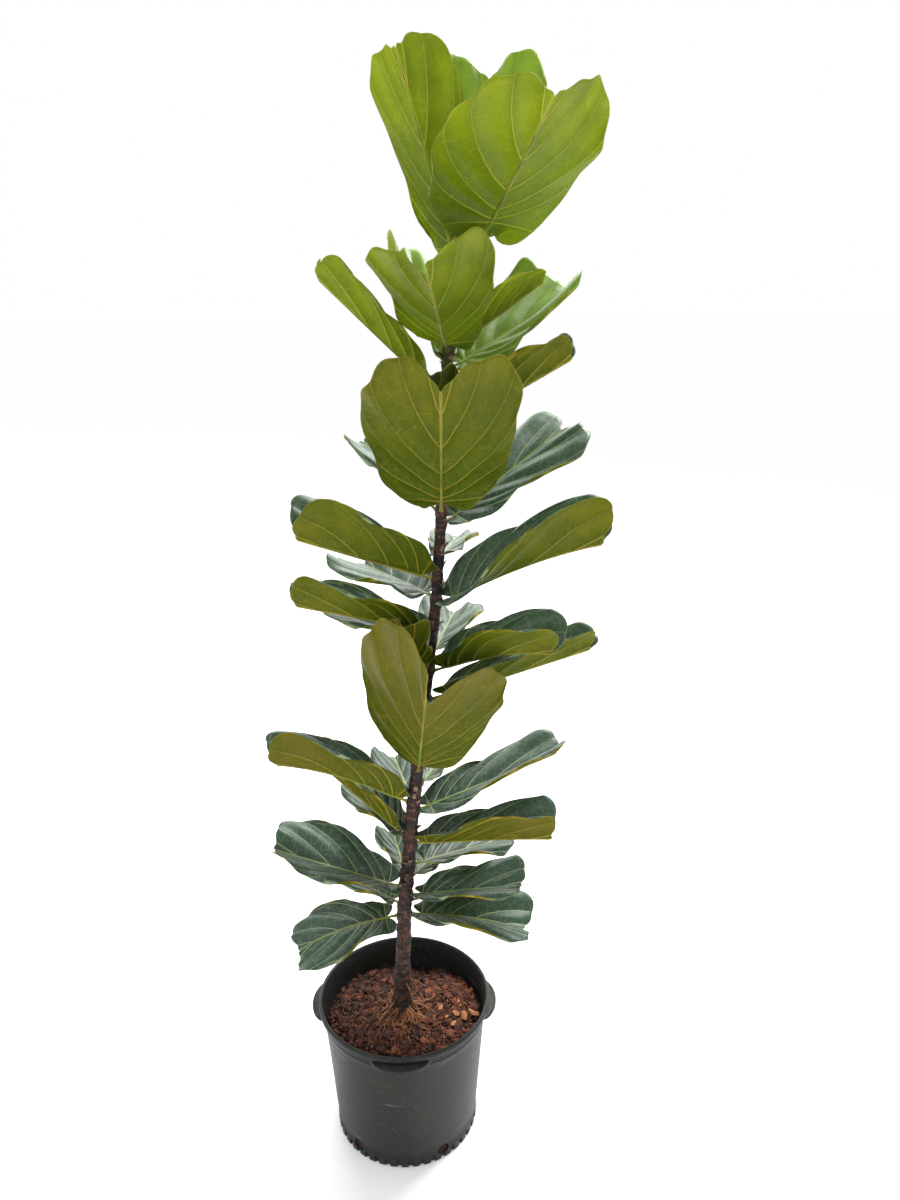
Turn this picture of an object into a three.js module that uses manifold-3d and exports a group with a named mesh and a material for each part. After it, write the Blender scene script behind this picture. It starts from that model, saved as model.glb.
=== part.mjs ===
// A fiddle leaf fig in a nursery pot, as one group of named meshes.
// Millimetres, +Z up. The origin is the centre of the pot's flat underside, and -Y is the side seen first.
import * as THREE from "three";
import { mergeVertices } from "three/addons/utils/BufferGeometryUtils.js";
import Module from "manifold-3d";

// ---- driving dimensions ----
const POT_HEIGHT = 235;
const RIM_RADIUS = 135;
const BASE_RADIUS = 114;
const WALL = 2.4;
const WALL_LOW_RADIUS = 113;
const WALL_HIGH_RADIUS = 127.5;
const HEEL_HEIGHT = 16;
const LIP_BOTTOM = 208;
const POT_SIDES = 60;
const NOTCHES = 40;
const NOTCH_WIDTH = 7;
const NOTCH_HEIGHT = 14;
const NOTCH_DEPTH = 3;
const DRAIN_HOLES = 5;
const DRAIN_RADIUS = 9.5;
const DRAIN_HEIGHT = 18;
const DRAIN_TURN = 14;
const TABS = 4;
const TAB_HALF_ANGLE = 19;
const TAB_REACH = 12;
const TAB_BOTTOM = 218;
const TAB_THICK = 5;
const GAP = 0.3;
const SOIL_LEVEL = 200;
const SOIL_SIDES = 30;
const STEM_SOCKET = 15;
const SOCKET_FLOOR = 150;
const STEM_SIDES = 12;
const STEM_STEP = 35;
const PLATE = 1.2;
const STALK_WIDTH = 5;
const STALK_THICK = 4;
const BLADE_ROWS = 9;
const HALF_COLUMNS = 3;

const DEG = Math.PI / 180;
const mix = THREE.MathUtils.lerp;
const clamp = THREE.MathUtils.clamp;

const wasm = await Module();
wasm.setup();

const colours = {
  pot: { color: 0x3c3e3e, roughness: 0.5, metalness: 0 },
  soil: { color: 0x4a2b1e, roughness: 0.95, metalness: 0 },
  bark: { color: 0x4b3328, roughness: 0.85, metalness: 0 },
  leaf: { color: 0x4f6b1e, roughness: 0.4, metalness: 0 },
  bud: { color: 0x7a5a2c, roughness: 0.7, metalness: 0 },
};

// One named mesh with a material of its own.
function part(name, geometry, look) {
  const mesh = new THREE.Mesh(geometry, new THREE.MeshStandardMaterial({ ...look, side: THREE.FrontSide }));
  mesh.name = name;
  return mesh;
}

function solidFrom(geometry) {
  const bare = geometry.clone();
  bare.deleteAttribute("normal");
  bare.deleteAttribute("uv");
  const merged = mergeVertices(bare, 1e-4);
  return new wasm.Manifold(
    new wasm.Mesh({
      numProp: 3,
      vertProperties: merged.attributes.position.array,
      triVerts: new Uint32Array(merged.index.array),
    }),
  );
}

function geometryFrom(solid) {
  const mesh = solid.getMesh();
  const geometry = new THREE.BufferGeometry();
  geometry.setAttribute("position", new THREE.BufferAttribute(mesh.vertProperties, 3));
  geometry.setIndex(new THREE.BufferAttribute(mesh.triVerts, 1));
  geometry.computeVertexNormals();
  return geometry;
}

// ---- the pot ----

// Inner radius of the pot wall at a height.
function potInside(height) {
  const share = clamp((height - HEEL_HEIGHT) / (LIP_BOTTOM - HEEL_HEIGHT), 0, 1);
  return mix(WALL_LOW_RADIUS, WALL_HIGH_RADIUS, share) - WALL;
}

function potShell() {
  const profile = [
    [0, 0],
    [BASE_RADIUS - 2, 0],
    [BASE_RADIUS, 2],
    [BASE_RADIUS, HEEL_HEIGHT],
    [WALL_LOW_RADIUS, HEEL_HEIGHT + 2],
    [WALL_HIGH_RADIUS, LIP_BOTTOM],
    [WALL_HIGH_RADIUS + 2, LIP_BOTTOM + 2],
    [WALL_HIGH_RADIUS + 2, LIP_BOTTOM + 6],
    [WALL_HIGH_RADIUS + 1, LIP_BOTTOM + 8],
    [WALL_HIGH_RADIUS + 4, LIP_BOTTOM + 10],
    [WALL_HIGH_RADIUS + 4, LIP_BOTTOM + 15],
    [RIM_RADIUS - 1.5, LIP_BOTTOM + 17],
    [RIM_RADIUS, LIP_BOTTOM + 19],
    [RIM_RADIUS, POT_HEIGHT - 2],
    [RIM_RADIUS - 2, POT_HEIGHT],
    [RIM_RADIUS - 4.5, POT_HEIGHT],
    [RIM_RADIUS - 6, POT_HEIGHT - 2],
    [WALL_HIGH_RADIUS - WALL, LIP_BOTTOM + 10],
    [WALL_HIGH_RADIUS - WALL, LIP_BOTTOM],
    [WALL_LOW_RADIUS - WALL, HEEL_HEIGHT],
    [WALL_LOW_RADIUS - WALL, 5],
    [WALL_LOW_RADIUS - WALL - 2, 3],
    [0, 3],
  ];
  const points = profile.map(([radius, height]) => new THREE.Vector2(radius, height));
  return new THREE.LatheGeometry(points, POT_SIDES).rotateX(90 * DEG);
}

// A grip tab: a shallow crescent lying round the outside of the lip.
function gripTab() {
  const outline = [];
  const steps = 12;
  const place = (i, radius) => {
    const angle = mix(-TAB_HALF_ANGLE, TAB_HALF_ANGLE, i / steps) * DEG;
    outline.push(new THREE.Vector2(radius * Math.cos(angle), radius * Math.sin(angle)));
  };
  for (let i = 0; i <= steps; i += 1) {
    place(i, RIM_RADIUS - 1 + TAB_REACH * Math.sin((Math.PI * i) / steps) ** 0.5);
  }
  for (let i = steps; i >= 0; i -= 4) {
    place(i, WALL_HIGH_RADIUS + 2);
  }
  const plate = new THREE.ExtrudeGeometry(new THREE.Shape(outline), { depth: TAB_THICK, bevelEnabled: false });
  return plate.translate(0, 0, TAB_BOTTOM);
}

function pot() {
  let body = solidFrom(potShell());
  for (let i = 0; i < TABS; i += 1) {
    body = body.add(solidFrom(gripTab().rotateZ(((i * 360) / TABS) * DEG)));
  }
  for (let i = 0; i < NOTCHES; i += 1) {
    const cutter = new THREE.BoxGeometry(NOTCH_DEPTH * 2, NOTCH_WIDTH, NOTCH_HEIGHT * 2);
    cutter.translate(BASE_RADIUS + 1, 0, 0);
    body = body.subtract(solidFrom(cutter.rotateZ((((i + 0.5) * 360) / NOTCHES) * DEG)));
  }
  for (let i = 0; i < DRAIN_HOLES; i += 1) {
    const drill = new THREE.CylinderGeometry(DRAIN_RADIUS, DRAIN_RADIUS, 20, 16).rotateZ(90 * DEG);
    drill.translate(BASE_RADIUS, 0, DRAIN_HEIGHT);
    body = body.subtract(solidFrom(drill.rotateZ((DRAIN_TURN + (i * 360) / DRAIN_HOLES) * DEG)));
  }
  return geometryFrom(body);
}

// ---- the soil ----

// Height of the soil: a mound to the right and back, a hollow behind the stem.
function soilTop(x, y) {
  const mound = 10 * Math.exp(-((x - 80) ** 2 + (y - 20) ** 2) / 45 ** 2);
  const hollow = 16 * Math.exp(-((x - 10) ** 2 + (y - 95) ** 2) / 50 ** 2);
  const front = 6 * Math.exp(-((x + 20) ** 2 + (y + 60) ** 2) / 60 ** 2);
  const edge = 9 * clamp((Math.hypot(x, y) - 85) / 35, 0, 1) ** 2;
  return SOIL_LEVEL + mound + front - hollow - edge;
}

// Rings of vertices joined into a closed surface; the first and last rings close on a centre point each.
function loft(rings, bottomCentre, topCentre) {
  const sides = rings[0].length;
  const vertices = rings.flat();
  const faces = [];
  for (let i = 0; i + 1 < rings.length; i += 1) {
    for (let k = 0; k < sides; k += 1) {
      const next = (k + 1) % sides;
      const a = i * sides + k;
      const b = i * sides + next;
      faces.push(a, b, b + sides, a, b + sides, a + sides);
    }
  }
  const low = vertices.length;
  const high = low + 1;
  const last = (rings.length - 1) * sides;
  vertices.push(bottomCentre, topCentre);
  for (let k = 0; k < sides; k += 1) {
    const next = (k + 1) % sides;
    faces.push(low, next, k);
    faces.push(high, last + k, last + next);
  }
  return surface(vertices, faces);
}

function surface(vertices, faces) {
  const geometry = new THREE.BufferGeometry().setFromPoints(vertices);
  geometry.setIndex(faces);
  geometry.computeVertexNormals();
  return geometry;
}

// A level ring of points: radius and height may change with the angle.
function ring(sides, at) {
  return Array.from({ length: sides }, (_, k) => at((k * 2 * Math.PI) / sides));
}

function soil() {
  const centre = stemAt(SOIL_LEVEL);
  const floor = 3 + GAP;
  const flat = (radius, height) => (angle) =>
    new THREE.Vector3(radius * Math.cos(angle), radius * Math.sin(angle), height);
  const onTop = (share) => (angle) => {
    const wall = potInside(SOIL_LEVEL - 30) - GAP;
    const x = mix(centre.x + STEM_SOCKET * Math.cos(angle), wall * Math.cos(angle), share);
    const y = mix(centre.y + STEM_SOCKET * Math.sin(angle), wall * Math.sin(angle), share);
    return new THREE.Vector3(x, y, soilTop(x, y));
  };
  const socket = (angle) =>
    new THREE.Vector3(
      centre.x + STEM_SOCKET * Math.cos(angle),
      centre.y + STEM_SOCKET * Math.sin(angle),
      SOCKET_FLOOR,
    );
  const rings = [
    ring(SOIL_SIDES, flat(WALL_LOW_RADIUS - WALL - 3, floor)),
    ring(SOIL_SIDES, flat(WALL_LOW_RADIUS - WALL - GAP, 6)),
    ring(SOIL_SIDES, flat(potInside(HEEL_HEIGHT) - GAP, HEEL_HEIGHT)),
    ...[1, 0.8, 0.6, 0.4, 0.2, 0].map((share) => ring(SOIL_SIDES, onTop(share))),
    ring(SOIL_SIDES, socket),
  ];
  return loft(rings, new THREE.Vector3(0, 0, floor), new THREE.Vector3(centre.x, centre.y, SOCKET_FLOOR));
}

// ---- the stem ----

// Centre of the stem at some heights: [x, height]. It leans to the right and curves over near the top.
const STEM_LINE = [
  [-4, 150],
  [-4, 213],
  [0, 300],
  [6, 410],
  [17, 520],
  [30, 640],
  [46, 770],
  [61, 890],
  [69, 1000],
  [76, 1140],
  [82, 1230],
  [92, 1290],
  [107, 1324],
  [119, 1346],
];

// Stem radius at some heights: [radius, height].
const STEM_GIRTH = [
  [14, 150],
  [14, 204],
  [18, 206],
  [14, 235],
  [11, 300],
  [9.5, 600],
  [7.5, 900],
  [6.5, 1200],
  [5, 1346],
];

function along(table, height) {
  const i = clamp(table.findIndex((row) => row[1] >= height), 1, table.length - 1);
  const [low, high] = [table[i - 1], table[i]];
  const share = clamp((height - low[1]) / (high[1] - low[1]), 0, 1);
  return mix(low[0], high[0], share);
}

function stemAt(height) {
  return new THREE.Vector3(along(STEM_LINE, height), 0, height);
}

function stem() {
  const low = SOCKET_FLOOR + GAP;
  const high = STEM_LINE[STEM_LINE.length - 1][1];
  const heights = [low, 204, 206, 215];
  for (let height = 235; height < high; height += STEM_STEP) {
    heights.push(height);
  }
  heights.push(high);
  const rings = heights.map((height) => {
    const centre = stemAt(height);
    const knot = height > 240 && height < high ? 0.6 * Math.sin(height / 7) : 0;
    const radius = along(STEM_GIRTH, height) + knot;
    return ring(STEM_SIDES, (angle) => {
      const flare = height > 205 && height < 216 ? 2 * Math.cos(5 * angle) : 0;
      const reach = radius + flare;
      return new THREE.Vector3(centre.x + reach * Math.cos(angle), reach * Math.sin(angle), height);
    });
  });
  return loft(rings, stemAt(low), stemAt(high));
}

// The furled sheath that stands on the stem's tip.
function bud() {
  const foot = stemAt(1346).add(new THREE.Vector3(0, 0, GAP));
  const profile = [
    [3, 0],
    [4.5, 8],
    [4, 20],
    [2, 36],
    [0.6, 48],
  ];
  const rings = profile.map(([radius, rise]) =>
    ring(8, (angle) => {
      const lean = rise * 0.25;
      return new THREE.Vector3(
        foot.x + lean + radius * Math.cos(angle),
        foot.y + radius * Math.sin(angle),
        foot.z + rise,
      );
    }),
  );
  return loft(rings, foot, foot.clone().add(new THREE.Vector3(12, 0, 49)));
}

// ---- the leaves ----

// What a leaf is unless its row says otherwise. Angles in degrees, lengths in millimetres.
const COMMON_LEAF = {
  droop: 0, // how far the tip bends down from the rise
  right: [20, 20], // how far the right half folds up, at the base and at the tip
  left: [20, 20],
  round: 0.35, // 0 is waisted like a fiddle, 1 is nearly a circle
  notch: 0.08, // depth of the notch at the tip, as a share of the length
  spread: 0.2, // how wide the notch opens
  skew: 0, // how much longer the left half is than the right, as a share
  ears: 0.06, // how far the base lobes reach back past the stalk
  stalk: 14,
  wave: 6, // height of the ripple along the edge
};

// One row a leaf, from the top down. up is the height on the stem; facing is the way it points, seen from
// above: 0 right, 90 back, 180 left, 270 front. rise is the lift of the blade.
const LEAVES = [
  {
    up: 1345, facing: 294, rise: 37, long: 186, wide: 204, right: [5, 12],
    left: [0, 22], round: 1, notch: 0.04, spread: 0.05, stalk: 34, ears: 0.15,
  },
  {
    up: 1312, facing: 220, rise: 69, long: 222, wide: 125, right: [0, 0],
    left: [60, 60], round: 0.6, notch: 0.02, ears: 0.05, stalk: 27, wave: 3,
  },
  {
    up: 1340, facing: 76, rise: 70, long: 215, wide: 160, right: [15, 15],
    left: [15, 15], round: 0.5, notch: 0.12, spread: 0.4, ears: 0.03, stalk: 20,
  },
  {
    up: 1220, facing: 262, rise: 30, long: 190, wide: 155, right: [18, 22],
    left: [12, 18], round: 0.5, notch: 0.15, spread: 0.45, stalk: 18, skew: 0.07,
  },
  { up: 1168, facing: 197, rise: 43, long: 180, wide: 85, right: [25, 25], left: [45, 45], stalk: 34 },
  { up: 1205, facing: 120, rise: 42, long: 185, wide: 110, right: [30, 30], left: [50, 70] },
  { up: 1225, facing: 20, rise: 32, long: 130, wide: 80, right: [60, 60], left: [40, 40], stalk: 20 },
  { up: 1200, facing: 32, rise: 25, long: 202, wide: 130, right: [-25, 40], left: [30, 25] },
  { up: 1125, facing: 350, rise: 29, long: 165, wide: 95, right: [60, 60], left: [40, 40], stalk: 20 },
  { up: 1130, facing: 260, rise: 34, long: 120, wide: 75, notch: 0.03 },
  {
    up: 1018, facing: 271, rise: 52, long: 228, wide: 202, right: [8, 15],
    left: [8, 15], round: 0.8, notch: 0.16, spread: 0.25, stalk: 18,
  },
  { up: 1000, facing: 30, rise: 30, long: 220, wide: 125, right: [-10, -10], left: [40, 10] },
  { up: 1015, facing: 132, rise: 26, long: 165, wide: 100, stalk: 20 },
  { up: 925, facing: 205, rise: 22, long: 198, wide: 150, right: [50, 60], left: [60, 55] },
  { up: 890, facing: 350, rise: 28, droop: -18, long: 234, wide: 160, right: [0, 85], left: [50, 50] },
  { up: 895, facing: 125, rise: 1, long: 185, wide: 150, right: [25, 25], left: [10, 10], stalk: 18 },
  { up: 950, facing: 78, rise: 0, long: 110, wide: 80 },
  { up: 850, facing: 195, rise: 16, long: 182, wide: 105, right: [50, 50], left: [60, 60] },
  { up: 830, facing: 140, rise: 0, long: 155, wide: 110 },
  {
    up: 637, facing: 279, rise: 57, long: 238, wide: 250, right: [48, 52],
    left: [10, 20], round: 0.8, notch: 0.18, spread: 0.35, skew: -0.2,
  },
  { up: 792, facing: 235, rise: 60, long: 79, wide: 66, notch: 0.03 },
  { up: 805, facing: 76, rise: 8, long: 130, wide: 110, stalk: 20 },
  {
    up: 790, facing: 334, rise: 24, droop: -24, long: 175,
    wide: 130, right: [50, 50], left: [60, 60], stalk: 18,
  },
  { up: 745, facing: 357, rise: 19, long: 224, wide: 100, right: [60, 60], left: [40, 40], stalk: 24 },
  {
    up: 583, facing: 200, rise: 34, droop: -22, long: 206,
    wide: 120, right: [50, 50], left: [60, 60], stalk: 18,
  },
  { up: 565, facing: 20, rise: 12, long: 228, wide: 110, right: [0, 60], left: [30, 20] },
  { up: 575, facing: 104, rise: 0, long: 130, wide: 90, stalk: 20 },
  { up: 596, facing: 66, rise: 6, long: 100, wide: 66, stalk: 20 },
  { up: 525, facing: 173, rise: 42, long: 165, wide: 85, right: [20, 20], left: [60, 60] },
  { up: 518, facing: 130, rise: 12, long: 120, wide: 90 },
  {
    up: 510, facing: 355, rise: 6, droop: -6, long: 192,
    wide: 125, right: [50, 78], left: [40, 40], notch: 0.04,
  },
  { up: 470, facing: 30, rise: -4, long: 150, wide: 90, notch: 0.04 },
  { up: 435, facing: 187, rise: 24, long: 188, wide: 145, right: [35, 35], left: [15, 15], notch: 0.03 },
  { up: 420, facing: 347, rise: 14, long: 163, wide: 110, notch: 0.04 },
  { up: 440, facing: 60, rise: 0, long: 110, wide: 80 },
  {
    up: 382, facing: 190, rise: -6, droop: -30, long: 148,
    wide: 120, right: [20, 20], left: [-10, -10], stalk: 16, notch: 0.03,
  },
  { up: 398, facing: 142, rise: 2, long: 105, wide: 62 },
  { up: 385, facing: 350, rise: 4, droop: -20, long: 166, wide: 120, notch: 0.04 },
  { up: 450, facing: 104, rise: 5, long: 90, wide: 70, stalk: 18 },
];

// The two outlines that a leaf's own one lies between: half width and distance along, as shares, base to tip.
const FIDDLE = [
  [0, 0],
  [0.17, -0.02],
  [0.36, 0.01],
  [0.48, 0.11],
  [0.52, 0.24],
  [0.62, 0.4],
  [0.82, 0.57],
  [0.97, 0.73],
  [1, 0.89],
  [0.68, 1],
  [0.3, 0.99],
  [0, 0.93],
];
const ROUND = [
  [0, 0],
  [0.24, -0.03],
  [0.52, 0.02],
  [0.78, 0.13],
  [0.93, 0.28],
  [1, 0.44],
  [1, 0.6],
  [0.95, 0.76],
  [0.82, 0.9],
  [0.56, 1.0],
  [0.24, 1.02],
  [0, 0.93],
];
const EAR_SHARES = [0, 1, 0.9, 0.3];

// The flat outline: how wide and how far along the margin is, both as shares, from base (0) to tip (1).
function margin(leaf, share) {
  const last = FIDDLE.length - 1;
  const points = FIDDLE.map(([across, forward], i) => {
    const point = new THREE.Vector2(mix(across, ROUND[i][0], leaf.round), mix(forward, ROUND[i][1], leaf.round));
    point.y -= leaf.ears * (EAR_SHARES[i] ?? 0);
    return point;
  });
  points[last - 1].y -= leaf.notch * leaf.spread;
  points[last].y = 1 - leaf.notch;
  const point = new THREE.SplineCurve(points).getPoint(share);
  return { across: point.x, forward: point.y };
}

// Direction of the midrib at a share of the blade, with the blade's right side and upper side.
function frameAt(leaf, share) {
  const reach = clamp(share, 0, 1.25);
  const lift = (leaf.rise + leaf.droop * reach ** 1.6) * DEG;
  const turn = leaf.facing * DEG;
  const ahead = new THREE.Vector3(
    Math.cos(lift) * Math.cos(turn),
    Math.cos(lift) * Math.sin(turn),
    Math.sin(lift),
  );
  const right = new THREE.Vector3(Math.sin(turn), -Math.cos(turn), 0);
  const above = new THREE.Vector3().crossVectors(right, ahead);
  return { ahead, right, above };
}

// Points along the midrib, a fiftieth of the blade apart, so that a bent leaf keeps its length.
function midribLine(leaf) {
  const turn = leaf.facing * DEG;
  const out = along(STEM_GIRTH, leaf.up) + 1 + STALK_THICK * 0.6 * Math.sin(Math.abs(leaf.rise) * DEG);
  const start = stemAt(leaf.up).add(new THREE.Vector3(out * Math.cos(turn), out * Math.sin(turn), 0));
  const points = [start.clone().addScaledVector(frameAt(leaf, 0).ahead, leaf.stalk)];
  for (let i = 0; i < 62; i += 1) {
    const step = frameAt(leaf, (i + 0.5) / 50).ahead.multiplyScalar(leaf.long / 50);
    points.push(points[i].clone().add(step));
  }
  return { start, points };
}

function onMidrib(leaf, points, distance) {
  const share = distance / leaf.long;
  if (share < 0) {
    return points[0].clone().addScaledVector(frameAt(leaf, 0).ahead, distance);
  }
  const place = Math.min(share * 50, points.length - 1.001);
  const i = Math.floor(place);
  return points[i].clone().lerp(points[i + 1], place - i);
}

// One row of the blade's middle surface, from the left edge to the right edge.
function bladeRow(leaf, points, share) {
  const edge = margin(leaf, share);
  const root = (1 - leaf.notch) * share ** 1.7;
  const halfWidth = Math.max((leaf.wide / 2) * edge.across, STALK_WIDTH / 2);
  const row = [];
  for (let j = -HALF_COLUMNS; j <= HALF_COLUMNS; j += 1) {
    const out = Math.abs(j) / HALF_COLUMNS;
    const edgeForward = edge.forward * (1 - Math.sign(j) * leaf.skew * share);
    const forward = leaf.long * (root + (edgeForward - root) * (0.55 * out + 0.45 * out * out));
    const fold = j < 0 ? leaf.left : leaf.right;
    const tilt = mix(fold[0], fold[1], clamp(forward / leaf.long, 0, 1)) * DEG;
    const ripple = leaf.wave * out * out * Math.sin(5 * Math.PI * share + (j < 0 ? 2.2 : 0));
    const damp = Math.min(1, halfWidth / (leaf.wide * 0.2));
    const frame = frameAt(leaf, forward / leaf.long);
    const point = onMidrib(leaf, points, forward);
    point.addScaledVector(frame.right, Math.sign(j) * halfWidth * out * Math.cos(tilt));
    point.addScaledVector(frame.above, halfWidth * out * Math.sin(tilt) + ripple * damp);
    row.push({ point, above: frame.above });
  }
  return row;
}

function stalkRow(leaf, point) {
  const frame = frameAt(leaf, 0);
  const row = [];
  for (let j = -HALF_COLUMNS; j <= HALF_COLUMNS; j += 1) {
    // The columns keep to the stalk's sides, so that lobes reaching back past it stay clear of it.
    const offset = Math.sign(j) * mix(0.88, 1, Math.abs(j) / HALF_COLUMNS) * (STALK_WIDTH / 2);
    row.push({ point: point.clone().addScaledVector(frame.right, offset), above: frame.above });
  }
  return row;
}

// A closed leaf: the middle surface thickened both ways, more along the stalk and midrib.
function leafBody(leaf) {
  const { start, points } = midribLine(leaf);
  const rows = [stalkRow(leaf, start), stalkRow(leaf, points[0])];
  for (let i = 1; i <= BLADE_ROWS; i += 1) {
    rows.push(bladeRow(leaf, points, i / BLADE_ROWS));
  }
  const columns = 2 * HALF_COLUMNS + 1;
  const upper = [];
  const lower = [];
  rows.forEach((row, i) => {
    row.forEach((cell, j) => {
      const middle = Math.abs(j - HALF_COLUMNS) === 0;
      const stalky = i < 2;
      const midribThick = mix(STALK_THICK, PLATE * 1.5, clamp((i - 1) / BLADE_ROWS, 0, 1));
      const below = stalky || middle ? midribThick - PLATE / 2 : PLATE / 2;
      const across = bladeNormal(rows, i, j) ?? cell.above;
      upper.push(cell.point.clone().addScaledVector(across, PLATE / 2));
      lower.push(cell.point.clone().addScaledVector(across, -below));
    });
  });
  return surface([...upper, ...lower], plateFaces(rows.length, columns));
}

// The upper side's direction at a cell of the blade, taken from its neighbours; none on the stalk.
function bladeNormal(rows, i, j) {
  if (i < 2) {
    return null;
  }
  const before = rows[Math.max(i - 1, 0)][j].point;
  const after = rows[Math.min(i + 1, rows.length - 1)][j].point;
  const left = rows[i][Math.max(j - 1, 0)].point;
  const right = rows[i][Math.min(j + 1, rows[i].length - 1)].point;
  const ahead = after.clone().sub(before);
  const across = right.clone().sub(left);
  const normal = across.cross(ahead);
  return normal.length() > 1e-6 ? normal.normalize() : null;
}

// Triangles of a plate whose upper grid comes first and lower grid second.
function plateFaces(rows, columns) {
  const lower = rows * columns;
  const faces = [];
  const quad = (a, b, c, d) => faces.push(a, b, c, a, c, d);
  for (let i = 0; i + 1 < rows; i += 1) {
    for (let j = 0; j + 1 < columns; j += 1) {
      const a = i * columns + j;
      quad(a, a + 1, a + columns + 1, a + columns);
      quad(lower + a, lower + a + columns, lower + a + columns + 1, lower + a + 1);
    }
    const left = i * columns;
    const right = left + columns - 1;
    quad(right, lower + right, lower + right + columns, right + columns);
    quad(left, left + columns, lower + left + columns, lower + left);
  }
  for (let j = 0; j + 1 < columns; j += 1) {
    const tip = (rows - 1) * columns + j;
    quad(j, lower + j, lower + j + 1, j + 1);
    quad(tip, tip + 1, lower + tip + 1, lower + tip);
  }
  return faces;
}

// ---- the whole plant ----
const group = new THREE.Group();
group.add(part("pot", pot(), colours.pot));
group.add(part("soil", soil(), colours.soil));
group.add(part("stem", stem(), colours.bark));
group.add(part("tip_bud", bud(), colours.bud));
LEAVES.forEach((row, i) => {
  const leaf = { ...COMMON_LEAF, ...row };
  const name = `leaf_${String(i + 1).padStart(2, "0")}`;
  group.add(part(name, leafBody(leaf), colours.leaf));
});

export default group;
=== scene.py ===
"""A fiddle leaf fig in a nursery pot, given its final surfaces. Shapes are worked out in millimetres."""

import itertools
import math
from types import SimpleNamespace

import bpy
import numpy as np
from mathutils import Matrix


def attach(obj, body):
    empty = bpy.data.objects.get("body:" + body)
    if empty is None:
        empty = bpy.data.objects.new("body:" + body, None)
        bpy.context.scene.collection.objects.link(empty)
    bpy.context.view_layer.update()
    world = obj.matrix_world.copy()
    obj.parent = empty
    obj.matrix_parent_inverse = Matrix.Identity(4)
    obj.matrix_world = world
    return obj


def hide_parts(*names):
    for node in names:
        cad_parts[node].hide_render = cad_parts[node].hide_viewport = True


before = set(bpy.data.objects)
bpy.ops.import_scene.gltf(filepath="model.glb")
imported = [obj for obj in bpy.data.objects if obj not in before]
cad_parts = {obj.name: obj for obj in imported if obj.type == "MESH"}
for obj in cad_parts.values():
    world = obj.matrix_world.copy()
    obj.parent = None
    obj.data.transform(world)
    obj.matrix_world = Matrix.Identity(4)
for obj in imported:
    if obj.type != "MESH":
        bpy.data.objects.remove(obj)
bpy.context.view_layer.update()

MM = 0.001
PER_METRE = 1000  # a pattern's scale is this over the pattern's size in millimetres

# ---- driving dimensions, millimetres ----
RIM_RADIUS = 135
BASE_RADIUS = 114
POT_FLOOR = 3
WALL = 2.4
WALL_LOW_RADIUS = 113
WALL_HIGH_RADIUS = 127.5
HEEL_HEIGHT = 16
LIP_BOTTOM = 208
NOTCHES = 40
NOTCH_HEIGHT = 14
NOTCH_DEPTH = 3
DRAIN_HOLES = 5
DRAIN_RADIUS = 9.5
DRAIN_HEIGHT = 18
DRAIN_TURN = 14
TABS = 4
TAB_HALF_ANGLE = 19
TAB_REACH = 12
GAP = 0.3
SOIL_LEVEL = 200
STEM_SOCKET = 15
SOCKET_FLOOR = 150
STEM_TOP = 1346
STALK_RADIUS = 2.4
STALK_SIDES = 12
STALK_RINGS = 7  # from the stem to the blade
MIDRIB_RINGS = 40
MIDRIB_STEPS = 50  # straight steps in the length of a blade
STEPS_PAST_TIP = 12
BLADE_THICK = 0.9
SIDE_VEINS = 6  # in each half of a blade
PANEL_ROWS = 12  # rows of faces between two side veins
HALF_COLUMNS = 20
VEIN_RUN = 110.0  # a side vein has thinned out this far from the midrib
YOUNG_ABOVE = 1150  # leaves higher up the stem than this are young
GROWN_ABOVE = 650  # those below this are old
CHIP_SIZES = [(10, 19, 230), (5, 10, 900), (2.2, 5, 3200)]  # least and most across, and how many
DRAIN_CHIPS = 26  # behind each drain hole
FIBRES = 620
FINE_ROOTS = 60
FLOOR_REACH = 60000
SEED = 11


def mix(low, high, share):
    return low + (high - low) * share


def ease(value, low, high):
    """0 up to low, 1 from high, smooth between."""
    share = np.clip((value - low) / (high - low), 0, 1)
    return share * share * (3 - 2 * share)


def turned(angle):
    """Cosine and sine of an angle in degrees."""
    return math.cos(math.radians(angle)), math.sin(math.radians(angle))


def hill(distance, width):
    """1 at no distance, falling smoothly to about a third at width."""
    return np.exp(-((distance / width) ** 2))


def around(sides):
    """Evenly spaced angles round a circle."""
    return np.arange(sides) * 2 * math.pi / sides


# ---- making pieces ----


def placed(name, data):
    """An object in the scene that shows a mesh, a lamp or a camera."""
    made = bpy.data.objects.new(name, data)
    bpy.context.scene.collection.objects.link(made)
    return made


def mesh_of(name, vertices, faces):
    """A mesh from points in millimetres."""
    mesh = bpy.data.meshes.new(name)
    mesh.from_pydata((np.asarray(vertices) * MM).tolist(), [], [list(map(int, face)) for face in faces])
    return mesh


def piece(name, vertices, faces, finishes, finish_of=None, fields=None, stands_for=(), smooth=True):
    """A piece on the only body. finish_of numbers each face's finish; fields are numbers at each point."""
    mesh = mesh_of(name, vertices, faces)
    for finish in finishes:
        mesh.materials.append(finish)
    if finish_of is not None:
        mesh.polygons.foreach_set("material_index", np.asarray(finish_of, np.int32))
    for field, values in (fields or {}).items():
        attribute = mesh.attributes.new(field, "FLOAT", "POINT")
        attribute.data.foreach_set("value", np.asarray(values, np.float32).ravel())
    mesh.polygons.foreach_set("use_smooth", np.full(len(mesh.polygons), smooth))
    mesh.update()
    made = placed(name, mesh)
    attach(made, "root")
    if stands_for:
        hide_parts(*stands_for)
    return made


def gathered(bodies):
    """Several bodies, each its vertices and faces, as one."""
    vertices = []
    faces = []
    start = 0
    for body_vertices, body_faces in bodies:
        vertices.append(body_vertices)
        faces.extend([[start + k for k in face] for face in body_faces])
        start += len(body_vertices)
    return np.concatenate(vertices), faces


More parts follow.
